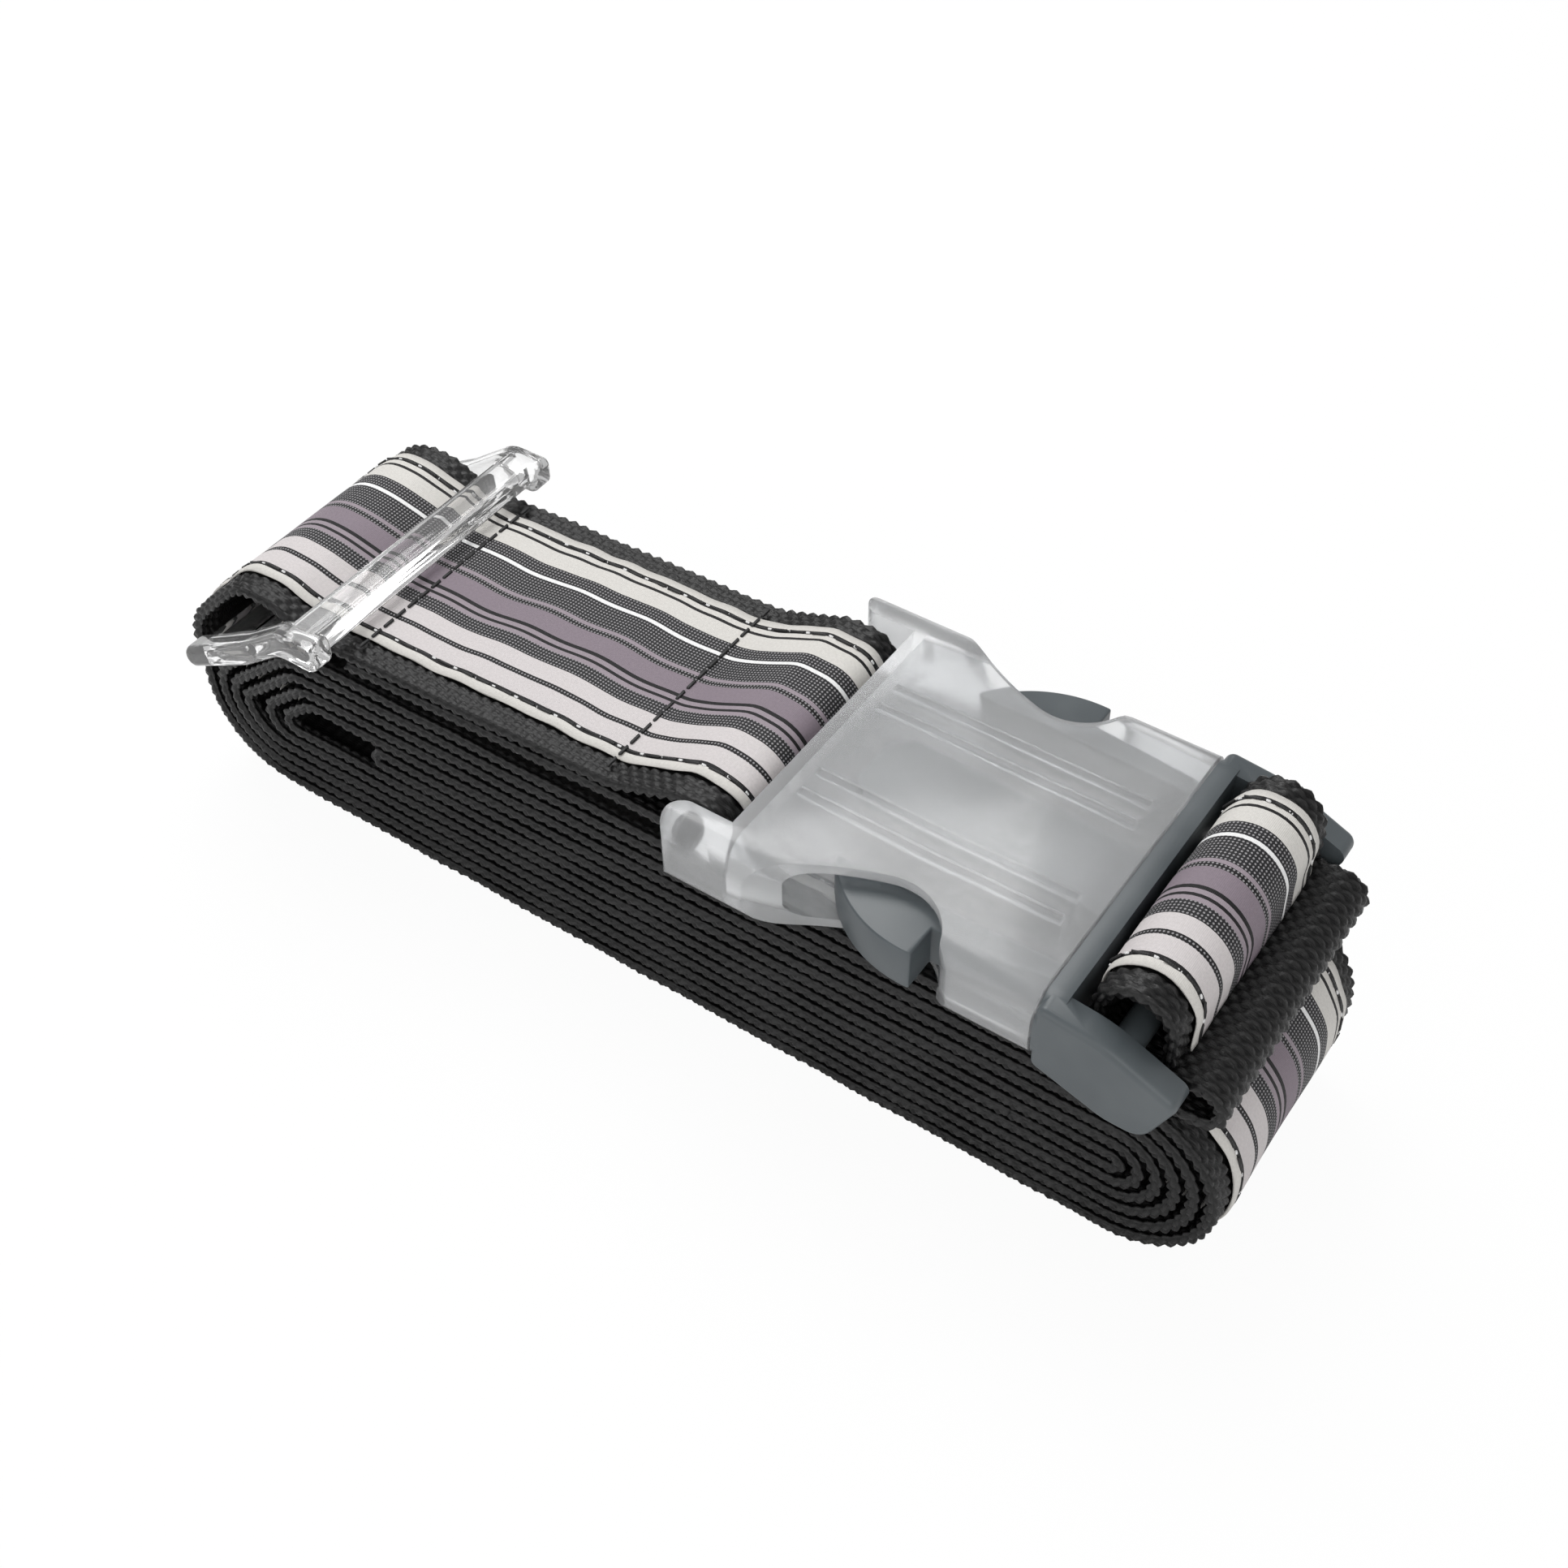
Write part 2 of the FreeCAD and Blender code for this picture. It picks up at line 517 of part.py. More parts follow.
def seam(x):
    """A row of thread stitches across the outer run, lying on the ribbon and the webbing."""
    span = WEBBING_WIDTH - 4
    step = span / SEAM_STITCHES
    tilt = math.degrees(math.atan2(SEAM_Z - DIP_Z, SEAM_X - DIP_X))
    stitches = []
    for number in range(SEAM_STITCHES):
        y = (number + 0.5) * step - span / 2
        on_ribbon = abs(y) + STITCH_LENGTH / 2 < RIBBON_WIDTH / 2
        on_webbing = abs(y) - STITCH_LENGTH / 2 > RIBBON_WIDTH / 2
        if not on_ribbon and not on_webbing:
            on_ribbon = True
        z = outer_height(x) + (RIBBON_OUTER if on_ribbon else HALF_WEBBING) + STITCH_GAP
        stitch = Part.makeBox(
            STITCH_WIDTH, STITCH_LENGTH, STITCH_HEIGHT,
            FreeCAD.Vector(x - STITCH_WIDTH / 2, y - STITCH_LENGTH / 2, z))
        stitch.rotate(FreeCAD.Vector(x, 0, z), FreeCAD.Vector(0, 1, 0), -tilt)
        stitches.append(stitch)
    return Part.makeCompound(stitches)


seam_buckle = seam(SEAM_X - 5.0)
seam_glide = seam(GLIDE_SEAM_X)

NODES = {
    "webbing_main": webbing_main,
    "ribbon_main": ribbon_main,
    "seam_buckle": seam_buckle,
    "seam_glide": seam_glide,
    "tri_glide": tri_glide,
    "socket": socket,
    "plug": plug,
    "latch_arm_near": latch_arm_near,
    "latch_arm_far": latch_arm_far,
    "webbing_adjuster": webbing_adjuster,
    "ribbon_adjuster": ribbon_adjuster,
}
for name, shape in NODES.items():
    shape.exportStep("parts/%s.step" % name)
    box = shape.BoundBox
    print("%-18s solids %2d valid %s volume %8.1f  x %.1f..%.1f y %.1f..%.1f z %.1f..%.1f" % (
        name, len(shape.Solids), shape.isValid(), shape.Volume,
        box.XMin, box.XMax, box.YMin, box.YMax, box.ZMin, box.ZMax))
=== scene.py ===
import math

import bmesh
import bpy
import numpy as np
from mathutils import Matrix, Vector


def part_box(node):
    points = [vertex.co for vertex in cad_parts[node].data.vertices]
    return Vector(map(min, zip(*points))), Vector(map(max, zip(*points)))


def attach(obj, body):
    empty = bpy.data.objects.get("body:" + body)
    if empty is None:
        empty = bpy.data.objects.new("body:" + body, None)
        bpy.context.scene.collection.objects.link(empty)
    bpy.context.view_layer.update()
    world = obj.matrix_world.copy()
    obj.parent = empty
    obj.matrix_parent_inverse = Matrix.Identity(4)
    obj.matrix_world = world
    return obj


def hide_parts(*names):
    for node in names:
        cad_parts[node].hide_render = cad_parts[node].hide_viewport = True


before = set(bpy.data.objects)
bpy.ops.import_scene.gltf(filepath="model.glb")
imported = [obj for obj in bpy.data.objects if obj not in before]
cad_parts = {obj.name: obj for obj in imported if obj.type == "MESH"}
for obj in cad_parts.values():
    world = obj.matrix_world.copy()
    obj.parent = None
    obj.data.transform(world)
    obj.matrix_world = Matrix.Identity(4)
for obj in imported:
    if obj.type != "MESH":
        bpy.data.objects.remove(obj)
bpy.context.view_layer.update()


# ---------------------------------------------------------------------------
# Main webbing. Black polypropylene, woven on a narrow loom in rows of plump
# yarn floats that stand like brickwork, with a selvage rolled over each edge.
# It is rolled up flat, and only the outer layers show more than their edges.
# ---------------------------------------------------------------------------
WEBBING_WIDTH = 0.050
WEBBING_THICKNESS = 0.0024
ROW_WIDTH = 0.0013
FLOAT_LENGTH = 0.0024
FLOAT_STEPS = 4
FLOAT_DEPTH = 0.00060
SELVAGE_ROWS = 3
SELVAGE_SWELL = 0.20
ROW_DRIFT = 0.00008
RIBBON_HALF_WIDTH = 0.020
TUCKED_UNDER_RIBBON = 0.0008
EDGE_ROWS_FROM = 0.0228
CLOTH_UNIT = 2 * RIBBON_HALF_WIDTH

scatter = np.random.default_rng(7)


def select_only(piece):
    bpy.ops.object.select_all(action="DESELECT")
    piece.select_set(True)
    bpy.context.view_layer.objects.active = piece


def long_sides(node):
    """The two long sides of each strip's near edge, as (x, z) arrays that start at the same end."""
    work = bmesh.new()
    work.from_mesh(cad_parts[node].data)
    bmesh.ops.remove_doubles(work, verts=work.verts, dist=2e-6)
    near = min(v.co.y for v in work.verts)
    cap = {f for f in work.faces if all(v.co.y < near + 1e-5 for v in f.verts)}
    rim = [e for e in work.edges if sum(f in cap for f in e.link_faces) == 1]
    beside = {}
    for edge in rim:
        a, b = edge.verts
        beside.setdefault(a, []).append(b)
        beside.setdefault(b, []).append(a)
    strips = []
    while beside:
        first = min(beside, key=lambda v: v.index)
        loop = [first]
        onward = beside[first][0]
        while onward is not first:
            previous = loop[-1]
            loop.append(onward)
            onward = next((v for v in beside[onward] if v is not previous), first)
        for vert in loop:
            del beside[vert]
        points = np.array([(v.co.x, v.co.z) for v in loop])
        ahead = np.roll(points, -1, axis=0) - points
        behind = np.roll(ahead, 1, axis=0)
        turn = np.arctan2(
            behind[:, 0] * ahead[:, 1] - behind[:, 1] * ahead[:, 0], (behind * ahead).sum(1))
        corners = np.flatnonzero(np.abs(np.abs(turn) - math.pi / 2) < 0.06)
        points = np.roll(points, -corners[0], axis=0)
        corners = np.append(corners - corners[0], len(points))
        closed = np.vstack([points, points[:1]])
        sides = [closed[a:b + 1] for a, b in zip(corners, corners[1:])]
        sides.sort(key=lambda side: -np.linalg.norm(np.diff(side, axis=0), axis=1).sum())
        one, other = sides[:2]
        if np.linalg.norm(one[0] - other[0]) > np.linalg.norm(one[0] - other[-1]):
            other = other[::-1]
        strips.append((one, other))
    work.free()
    return strips


def left_normals(points):
    """Unit normals on the left of a line of (x, z) points."""
    run = np.gradient(points, axis=0)
    run /= np.linalg.norm(run, axis=1)[:, None]
    return np.column_stack([-run[:, 1], run[:, 0]])


def centre_line(one, other, step):
    """Evenly spaced points midway between the two long sides, and their left normals."""
    across = other[0] - one[0]
    first_run = one[1] - one[0]
    side = math.copysign(1, first_run[0] * across[1] - first_run[1] * across[0])
    half = np.linalg.norm(across) / 2
    dense = []
    for a, b in zip(one, one[1:]):
        pieces = max(1, int(np.linalg.norm(b - a) / 0.0004))
        dense.append(a + (b - a) * np.linspace(0, 1, pieces, endpoint=False)[:, None])
    dense = np.vstack(dense + [one[-1:]])
    middle = dense + left_normals(dense) * half * side
    along = np.append(0, np.cumsum(np.linalg.norm(np.diff(middle, axis=0), axis=1)))
    count = int(round(along[-1] / step)) + 1
    even = np.linspace(0, along[-1], count)
    line = np.column_stack([np.interp(even, along, middle[:, k]) for k in (0, 1)])
    return {"s": even, "at": line, "left": left_normals(line)}


def turned_round(line):
    """The same line, run the other way."""
    return {"s": line["s"], "at": line["at"][::-1], "left": -line["left"][::-1]}


def part_of(line, begin, end):
    return {key: value[begin:end] for key, value in line.items()}


def stations(full_sides):
    """Places round the webbing's section: (y, offset, outward y, outward offset, row, crest)."""
    radius = WEBBING_THICKNESS / 2
    flat = WEBBING_WIDTH / 2 - radius
    rows = int(2 * flat / ROW_WIDTH)
    places = []
    row_number = 0
    for side in (1, -1):
        keep = full_sides[side]
        width = 2 * flat / rows
        for row in range(rows):
            middle = (-flat + (row + 0.5) * width) * side
            shown = abs(middle) > keep
            for share, crest in ((-0.5, 0.0), (-0.18, 1.0), (0.18, 1.0)):
                y = middle + share * width * side
                if shown:
                    places.append((y, side * radius, 0.0, side, row_number + row, crest))
                elif share < 0 and crest == 0.0 and abs(y) > keep - 2 * width:
                    places.append((y, side * radius, 0.0, side, row_number + row, 0.5))
        row_number += rows
        for row in range(SELVAGE_ROWS):
            for share, crest in ((0.0, 0.0), (0.32, 1.0), (0.68, 1.0)):
                angle = math.pi / 2 - math.pi * (row + share) / SELVAGE_ROWS
                swollen = radius * (1 + SELVAGE_SWELL * math.cos(angle) ** 0.5)
                places.append((
                    side * (flat + radius * math.cos(angle)), side * swollen * math.sin(angle),
                    side * math.cos(angle), side * math.sin(angle), row_number + row, crest))
        row_number += SELVAGE_ROWS
    return np.array(places)


def lay_tube(name, line, y, offset, cloth_v, crest=None):
    """A closed strip: arrays y and offset are (points along, stations round)."""
    count, around = y.shape
    bpy.ops.object.select_all(action="DESELECT")
    bpy.ops.mesh.primitive_grid_add(x_subdivisions=count - 1, y_subdivisions=around, size=2)
    piece = bpy.context.object
    piece.name = name
    mesh = piece.data
    grid = np.empty(len(mesh.vertices) * 3)
    mesh.vertices.foreach_get("co", grid)
    grid = grid.reshape(-1, 3)
    i = np.rint((grid[:, 0] + 1) / 2 * (count - 1)).astype(int)
    j = np.rint((grid[:, 1] + 1) / 2 * around).astype(int)
    ring = j % around
    height = offset[i, ring]
    places = np.column_stack([
        line["at"][i, 0] + line["left"][i, 0] * height,
        y[i, ring],
        np.maximum(line["at"][i, 1] + line["left"][i, 1] * height, 0.0),
    ])
    mesh.vertices.foreach_set("co", places.ravel())
    corner = np.empty(len(mesh.loops), int)
    mesh.loops.foreach_get("vertex_index", corner)
    flat_uv = np.column_stack([line["s"][i[corner]] / CLOTH_UNIT, cloth_v[ring[corner]]])
    mesh.uv_layers[0].data.foreach_set("uv", flat_uv.ravel())
    mesh.uv_layers[0].name = "Cloth"
    # The crest height is kept as an attribute; the webbing material paints shade from it, darkest between
    # the floats.
    if crest is not None:
        mesh.attributes.new("crest", "FLOAT", "POINT").data.foreach_set("value", crest[i, ring])
    select_only(piece)
    bpy.ops.object.mode_set(mode="EDIT")
    bpy.ops.mesh.select_all(action="SELECT")
    bpy.ops.mesh.remove_doubles(threshold=1e-6)
    bpy.ops.mesh.select_all(action="DESELECT")
    bpy.ops.mesh.select_non_manifold()
    bpy.ops.mesh.fill_holes(sides=0)
    bpy.ops.mesh.select_all(action="SELECT")
    bpy.ops.mesh.normals_make_consistent(inside=False)
    bpy.ops.object.mode_set(mode="OBJECT")
    bpy.ops.object.shade_smooth()
    return piece


def weave(name, line, full_sides):
    """Webbing along a line. Where full_sides lets rows show, each yarn float is a bump of its own."""
    places = stations(full_sides)
    along = line["s"][:, None]
    row = places[:, 4].astype(int)
    shift = scatter.normal(0, 0.05, row.max() + 1)[row]
    wave = 0.5 + 0.5 * np.cos(2 * math.pi * along / FLOAT_LENGTH + math.pi * row + shift)
    wander = 1 + 0.10 * np.sin(along * 410 + row * 1.7) + 0.06 * np.sin(along * 930 + row * 2.9)
    bump = places[:, 5] * (0.10 + 0.90 * wave ** 0.7) * wander
    height = -FLOAT_DEPTH * (1 - bump)
    y = places[:, 0] + places[:, 2] * height + ROW_DRIFT * np.sin(along * 260 + places[:, 1] * 900)
    offset = places[:, 1] + places[:, 3] * height
    piece = lay_tube(name, line, y, offset, places[:, 0] / WEBBING_WIDTH + 0.5, bump)
    return piece


def new_material(name):
    """A node material, its tree and its Principled shader."""
    material = bpy.data.materials.new(name)
    material.use_nodes = True
    return material, material.node_tree, material.node_tree.nodes["Principled BSDF"]


def wire(tree, out_node, out_name, in_node, in_name):
    """Links one node's output to another's input."""
    tree.links.new(out_node.outputs[out_name], in_node.inputs[in_name])


def group_with(name, inputs, outputs):
    """An empty node group with named sockets, and its input and output nodes."""
    group = bpy.data.node_groups.new(name, "ShaderNodeTree")
    for label, kind, value in inputs:
        socket = group.interface.new_socket(label, in_out="INPUT", socket_type=kind)
        if value is not None:
            socket.default_value = value
    for label, kind in outputs:
        group.interface.new_socket(label, in_out="OUTPUT", socket_type=kind)
    return group, group.nodes.new("NodeGroupInput"), group.nodes.new("NodeGroupOutput")


def yarn_fibre_group():
    """Fine lengthwise fibre streaks: a value for colour and a height for bump."""
    group, given, result = group_with(
        "yarn fibre",
        [("Vector", "NodeSocketVector", None), ("Scale", "NodeSocketFloat", 40.0),
         ("Stretch", "NodeSocketFloat", 6.0)],
        [("Streak", "NodeSocketFloat"), ("Fuzz", "NodeSocketFloat")])
    spread = group.nodes.new("ShaderNodeCombineXYZ")
    spread.inputs["X"].default_value = 1.0
    spread.inputs["Z"].default_value = 1.0
    stretched = group.nodes.new("ShaderNodeVectorMath")
    stretched.operation = "MULTIPLY"
    streak = group.nodes.new("ShaderNodeTexNoise")
    streak.inputs["Detail"].default_value = 3.0
    fuzz = group.nodes.new("ShaderNodeTexNoise")
    fuzz.inputs["Detail"].default_value = 2.0
    wire(group, given, "Stretch", spread, "Y")
    wire(group, given, "Vector", stretched, 0)
    wire(group, spread, "Vector", stretched, 1)
    wire(group, stretched, "Vector", streak, "Vector")
    wire(group, given, "Scale", streak, "Scale")
    wire(group, given, "Vector", fuzz, "Vector")
    wire(group, given, "Scale", fuzz, "Scale")
    wire(group, streak, "Fac", result, "Streak")
    wire(group, fuzz, "Fac", result, "Fuzz")
    return group


yarn_fibre = yarn_fibre_group()


def webbing_material():
    """Black yarn with painted shade that darkens it down between the floats, with fibre streaks and a
    dull shine.
    """
    material, tree, shader = new_material("black webbing")
    shader.inputs["Roughness"].default_value = 0.38
    shader.inputs["Specular IOR Level"].default_value = 0.36
    cloth = tree.nodes.new("ShaderNodeUVMap")
    cloth.uv_map = "Cloth"
    fibre = tree.nodes.new("ShaderNodeGroup")
    fibre.node_tree = yarn_fibre
    fibre.inputs["Scale"].default_value = 45.0
    fibre.inputs["Stretch"].default_value = 5.0
    crest = tree.nodes.new("ShaderNodeAttribute")
    crest.attribute_name = "crest"
    # Painted shade: the crest attribute darkens the yarn's colour down in the valleys between the floats.
    shade = tree.nodes.new("ShaderNodeValToRGB")
    shade.color_ramp.elements[0].color = (0.0012, 0.0012, 0.0013, 1)
    shade.color_ramp.elements[1].color = (0.0125, 0.0121, 0.0123, 1)
    shade.color_ramp.elements[1].position = 0.85
    streaky = tree.nodes.new("ShaderNodeMix")
    streaky.data_type = "RGBA"
    streaky.blend_type = "MULTIPLY"
    streaky.inputs["Factor"].default_value = 0.55
    brighten = tree.nodes.new("ShaderNodeValToRGB")
    brighten.color_ramp.elements[0].position = 0.3
    brighten.color_ramp.elements[0].color = (0.45, 0.45, 0.45, 1)
    brighten.color_ramp.elements[1].position = 0.7
    brighten.color_ramp.elements[1].color = (1.5, 1.5, 1.5, 1)
    bump = tree.nodes.new("ShaderNodeBump")
    bump.inputs["Strength"].default_value = 0.5
    bump.inputs["Distance"].default_value = 0.0003
    wire(tree, cloth, "UV", fibre, "Vector")
    wire(tree, crest, "Fac", shade, "Fac")
    wire(tree, fibre, "Streak", brighten, "Fac")
    wire(tree, shade, "Color", streaky, "A")
    wire(tree, brighten, "Color", streaky, "B")
    wire(tree, streaky, "Result", shader, "Base Color")
    wire(tree, fibre, "Streak", bump, "Height")
    wire(tree, bump, "Normal", shader, "Normal")
    return material


webbing_black = webbing_material()
FLOAT_STEP = FLOAT_LENGTH / FLOAT_STEPS
whole_belt = centre_line(*long_sides("webbing_main")[0], FLOAT_STEP)
if whole_belt["at"][0, 0] > whole_belt["at"][-1, 0]:
    whole_belt = turned_round(whole_belt)

# The belt is made in three pieces: what shows, up to where it runs back under the plug's strand,
# and two halves of the rest, of which only the edges show. That place is looked for past the
# sewn tail and the top run, which lie at much the same height.
PAST_TOP_RUN = 0.30
UNDER_THE_MOUTH = 0.01
STRAND_TO_LAYER_BELOW = 0.0018
LAYER_TOLERANCE = 0.001
socket_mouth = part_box("socket")[1][0]
strand_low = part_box("webbing_adjuster")[0][2]
going_left = np.gradient(whole_belt["at"][:, 0]) < 0
under_buckle = (
    (whole_belt["s"] > PAST_TOP_RUN) & going_left
    & (np.abs(whole_belt["at"][:, 1] - (strand_low - STRAND_TO_LAYER_BELOW)) < LAYER_TOLERANCE)
    & (whole_belt["at"][:, 0] < socket_mouth - UNDER_THE_MOUTH))
hidden_from = int(np.flatnonzero(under_buckle)[0])
half_way = (hidden_from + len(whole_belt["s"])) // 2
border = RIBBON_HALF_WIDTH - TUCKED_UNDER_RIBBON
border_rows = {1: border, -1: border}
edge_rows = {1: EDGE_ROWS_FROM, -1: EDGE_ROWS_FROM}
webbing_outer = weave("webbing_outer", part_of(whole_belt, 0, hidden_from + 1), border_rows)
webbing_middle = weave("webbing_middle", part_of(whole_belt, hidden_from, half_way + 1), edge_rows)
webbing_inner = weave("webbing_inner", part_of(whole_belt, half_way, None), edge_rows)
layers = (
    (webbing_outer, 0, hidden_from, ["webbing_middle"]),
    (webbing_middle, hidden_from, half_way, ["webbing_outer", "webbing_inner"]),
    (webbing_inner, half_way, -1, ["webbing_middle"]))
for piece, begin, end, beneath in layers:
    piece.data.materials.append(webbing_black)
    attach(piece, "roll")
    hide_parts("webbing_main")


# ---------------------------------------------------------------------------
# Strand through the plug. The same webbing, rolled loosely over the adjuster
# bar with its end tucked behind, led back under the bar and folded down onto
# the roll with its plain black face outwards.
# ---------------------------------------------------------------------------
plug_strand = centre_line(*long_sides("webbing_adjuster")[0], FLOAT_STEP)
if plug_strand["at"][0, 0] < plug_strand["at"][-1, 0]:
    plug_strand = turned_round(plug_strand)
webbing_fold = weave("webbing_fold", plug_strand, {1: 0.0, -1: border})
webbing_fold.data.materials.append(webbing_black)
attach(webbing_fold, "plug_half")
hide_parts("webbing_adjuster")


# ---------------------------------------------------------------------------
# Ribbon. A jacquard ribbon, 40 mm wide, with cream, mauve and charcoal
# stripes along its length. It is sewn down near both edges, so it puckers a
# little between the stitches and its stripes wander.
# ---------------------------------------------------------------------------
RIBBON_STEP = 0.0012
ACROSS_STATIONS = 25
SWAY = 0.00035
SWAY_RIPPLE = 0.0002
EDGE_WAVE = 0.00012
PUCKER = 0.00010
RIPPLE = 0.00009
EDGE_ROLL = 0.00012
RIBBON_LIFT = 0.00004
CREAM = (0.71, 0.69, 0.655)
ROSE_CREAM = (0.68, 0.64, 0.64)
MAUVE = (0.26, 0.215, 0.25)
PALE_MAUVE = (0.34, 0.29, 0.325)
CHARCOAL = (0.020, 0.020, 0.022)
INK = (0.012, 0.0115, 0.0125)
WHITE = (0.92, 0.92, 0.92)
# Each stripe is its width in mm, its colour, and 1 where it is dotted.
STRIPES = [
    (1.6, CREAM, 0), (1.0, INK, 0), (3.6, ROSE_CREAM, 0), (1.1, INK, 1), (3.6, ROSE_CREAM, 0),
    (2.9, CHARCOAL, 1), (0.9, PALE_MAUVE, 0), (0.7, INK, 0), (0.9, PALE_MAUVE, 0), (0.7, INK, 0),
    (4.1, MAUVE, 0), (1.0, INK, 1), (0.8, PALE_MAUVE, 0), (5.2, CHARCOAL, 1), (0.8, WHITE, 0),
    (2.8, CHARCOAL, 1), (3.6, CREAM, 0), (0.6, INK, 0), (1.0, CREAM, 0), (1.0, INK, 0), (1.6, CREAM, 0),
]


def ribbon_along(name, line, side):
    """Ribbon on one side of its own centre line; its outer face carries the puckers."""
    inner = ribbon_thickness / 2
    along = line["s"][:, None]
    across = np.append(np.linspace(-1, 1, ACROSS_STATIONS), [1.0, -1.0])
    outer_face = np.arange(len(across)) < ACROSS_STATIONS
    sway = SWAY * np.sin(along * 150) + SWAY_RIPPLE * np.sin(along * 390 + 1.0)
    edge_wave = EDGE_WAVE * np.sin(along * 620 + across * 2.0) * np.abs(across) ** 3
    y = across * RIBBON_HALF_WIDTH + sway * (1 - 0.6 * np.abs(across) ** 4) + edge_wave
    pucker = PUCKER * np.sin(along * 830 + across * 3) * np.abs(across) ** 2
    ripple = RIPPLE * np.sin(along * 260 + across * 4 + 2 * np.sin(along * 90))
    lift = np.where(outer_face, inner + RIBBON_LIFT + pucker + ripple, -inner)
    rounding = np.where(np.abs(across) > 0.985, -EDGE_ROLL, 0.0)
    offset = side * (lift + np.where(outer_face, rounding, 0.0))
    piece = lay_tube(name, line, y, offset, across / 2 + 0.5)
    piece.data.materials.append(striped)
    return piece


def weave_dots_group():
    """Light pin dots in a diamond lattice and a fine rib, on cloth coordinates in ribbon widths."""
    group, given, result = group_with(
        "woven dots",
        [("Vector", "NodeSocketVector", None), ("Dots", "NodeSocketFloat", 44.0),
         ("Ribs", "NodeSocketFloat", 150.0)],
        [("Dot", "NodeSocketFloat"), ("Rib", "NodeSocketFloat")])
    axes = group.nodes.new("ShaderNodeSeparateXYZ")
    wire(group, given, "Vector", axes, "Vector")

    def maths(operation, a, b=None):
        node = group.nodes.new("ShaderNodeMath")
        node.operation = operation
        for number, value in enumerate((a, b)):
            if isinstance(value, (int, float)):
                node.inputs[number].default_value = value
            elif value is not None:
                group.links.new(value, node.inputs[number])
        return node.outputs[0]

    def wave(place, count, stretch):
        turns = maths("MULTIPLY", place, count)
        return maths("SINE", maths("MULTIPLY", turns, 2 * math.pi / stretch))

    total = maths("ADD", axes.outputs["X"], axes.outputs["Y"])
    apart = maths("SUBTRACT", axes.outputs["X"], axes.outputs["Y"])
    one = wave(total, given.outputs["Dots"], 1.4)
    two = wave(apart, given.outputs["Dots"], 1.4)
    dot = maths("MULTIPLY", one, two)
    sharp = maths("MULTIPLY", maths("SUBTRACT", dot, 0.25), 3.0)
    clamp = group.nodes.new("ShaderNodeClamp")
    group.links.new(sharp, clamp.inputs["Value"])
    rib = wave(axes.outputs["X"], given.outputs["Ribs"], 1.0)
    group.links.new(clamp.outputs[0], result.inputs["Dot"])
    group.links.new(rib, result.inputs["Rib"])
    return group


def stripe_ramp(tree, pick):
    """A constant ramp across the ribbon, one stop per stripe."""
    ramp = tree.nodes.new("ShaderNodeValToRGB")
    ramp.color_ramp.interpolation = "CONSTANT"
    total = sum(width for width, colour, dotted in STRIPES)
    place = 0.0
    for number, (width, colour, dotted) in enumerate(STRIPES):
        if number == 0:
            stop = ramp.color_ramp.elements[0]
        elif number == 1:
            stop = ramp.color_ramp.elements[1]
            stop.position = place / total
        else:
            stop = ramp.color_ramp.elements.new(place / total)
        stop.color = pick(colour, dotted)
        place += width
    return ramp


def ribbon_material():
    """Stripes from near edge to far edge, dotted where the jacquard is, with a fine rib."""
    material, tree, shader = new_material("striped ribbon")
    shader.inputs["Roughness"].default_value = 0.55
    shader.inputs["Specular IOR Level"].default_value = 0.22
    cloth = tree.nodes.new("ShaderNodeUVMap")
    cloth.uv_map = "Cloth"
    axes = tree.nodes.new("ShaderNodeSeparateXYZ")
    stripes = stripe_ramp(tree, lambda colour, dotted: tuple(colour) + (1,))
    dotted = stripe_ramp(tree, lambda colour, dotted: (dotted, dotted, dotted, 1))
    weave_dots = tree.nodes.new("ShaderNodeGroup")
    weave_dots.node_tree = weave_dots_group()
    share = tree.nodes.new("ShaderNodeMath")
    share.operation = "MULTIPLY"
    speckle = tree.nodes.new("ShaderNodeMix")
    speckle.data_type = "RGBA"
    speckle.inputs["B"].default_value = (0.34, 0.33, 0.34, 1)
    fibre = tree.nodes.new("ShaderNodeGroup")
    fibre.node_tree = yarn_fibre
    fibre.inputs["Scale"].default_value = 90.0
    fibre.inputs["Stretch"].default_value = 3.0
    soft = tree.nodes.new("ShaderNodeMix")
    soft.data_type = "RGBA"
    soft.blend_type = "MULTIPLY"
    soft.inputs["Factor"].default_value = 0.25
    height = tree.nodes.new("ShaderNodeMath")
    height.operation = "ADD"
    bump = tree.nodes.new("ShaderNodeBump")
    bump.inputs["Strength"].default_value = 0.25
    bump.inputs["Distance"].default_value = 0.0001
    wire(tree, cloth, "UV", axes, "Vector")
    wire(tree, axes, "Y", stripes, "Fac")
    wire(tree, axes, "Y", dotted, "Fac")
    wire(tree, cloth, "UV", weave_dots, "Vector")
    wire(tree, weave_dots, "Dot", share, 0)
    wire(tree, dotted, "Color", share, 1)
    wire(tree, share, "Value", speckle, "Factor")
    wire(tree, stripes, "Color", speckle, "A")
    wire(tree, cloth, "UV", fibre, "Vector")
    wire(tree, speckle, "Result", soft, "A")
    wire(tree, fibre, "Fuzz", soft, "B")
    wire(tree, soft, "Result", shader, "Base Color")
    wire(tree, weave_dots, "Rib", height, 0)
    wire(tree, fibre, "Streak", height, 1)
    wire(tree, height, "Value", bump, "Height")
    wire(tree, bump, "Normal", shader, "Normal")
    return material


striped = ribbon_material()
ribbon_sides = long_sides("ribbon_main")
ribbon_thickness = float(np.linalg.norm(ribbon_sides[-1][0][0] - ribbon_sides[-1][1][0]))
ribbon_lines = [centre_line(one, other, RIBBON_STEP) for one, other in ribbon_sides]
ribbon_lines.sort(key=lambda line: -line["at"][:, 1].max())


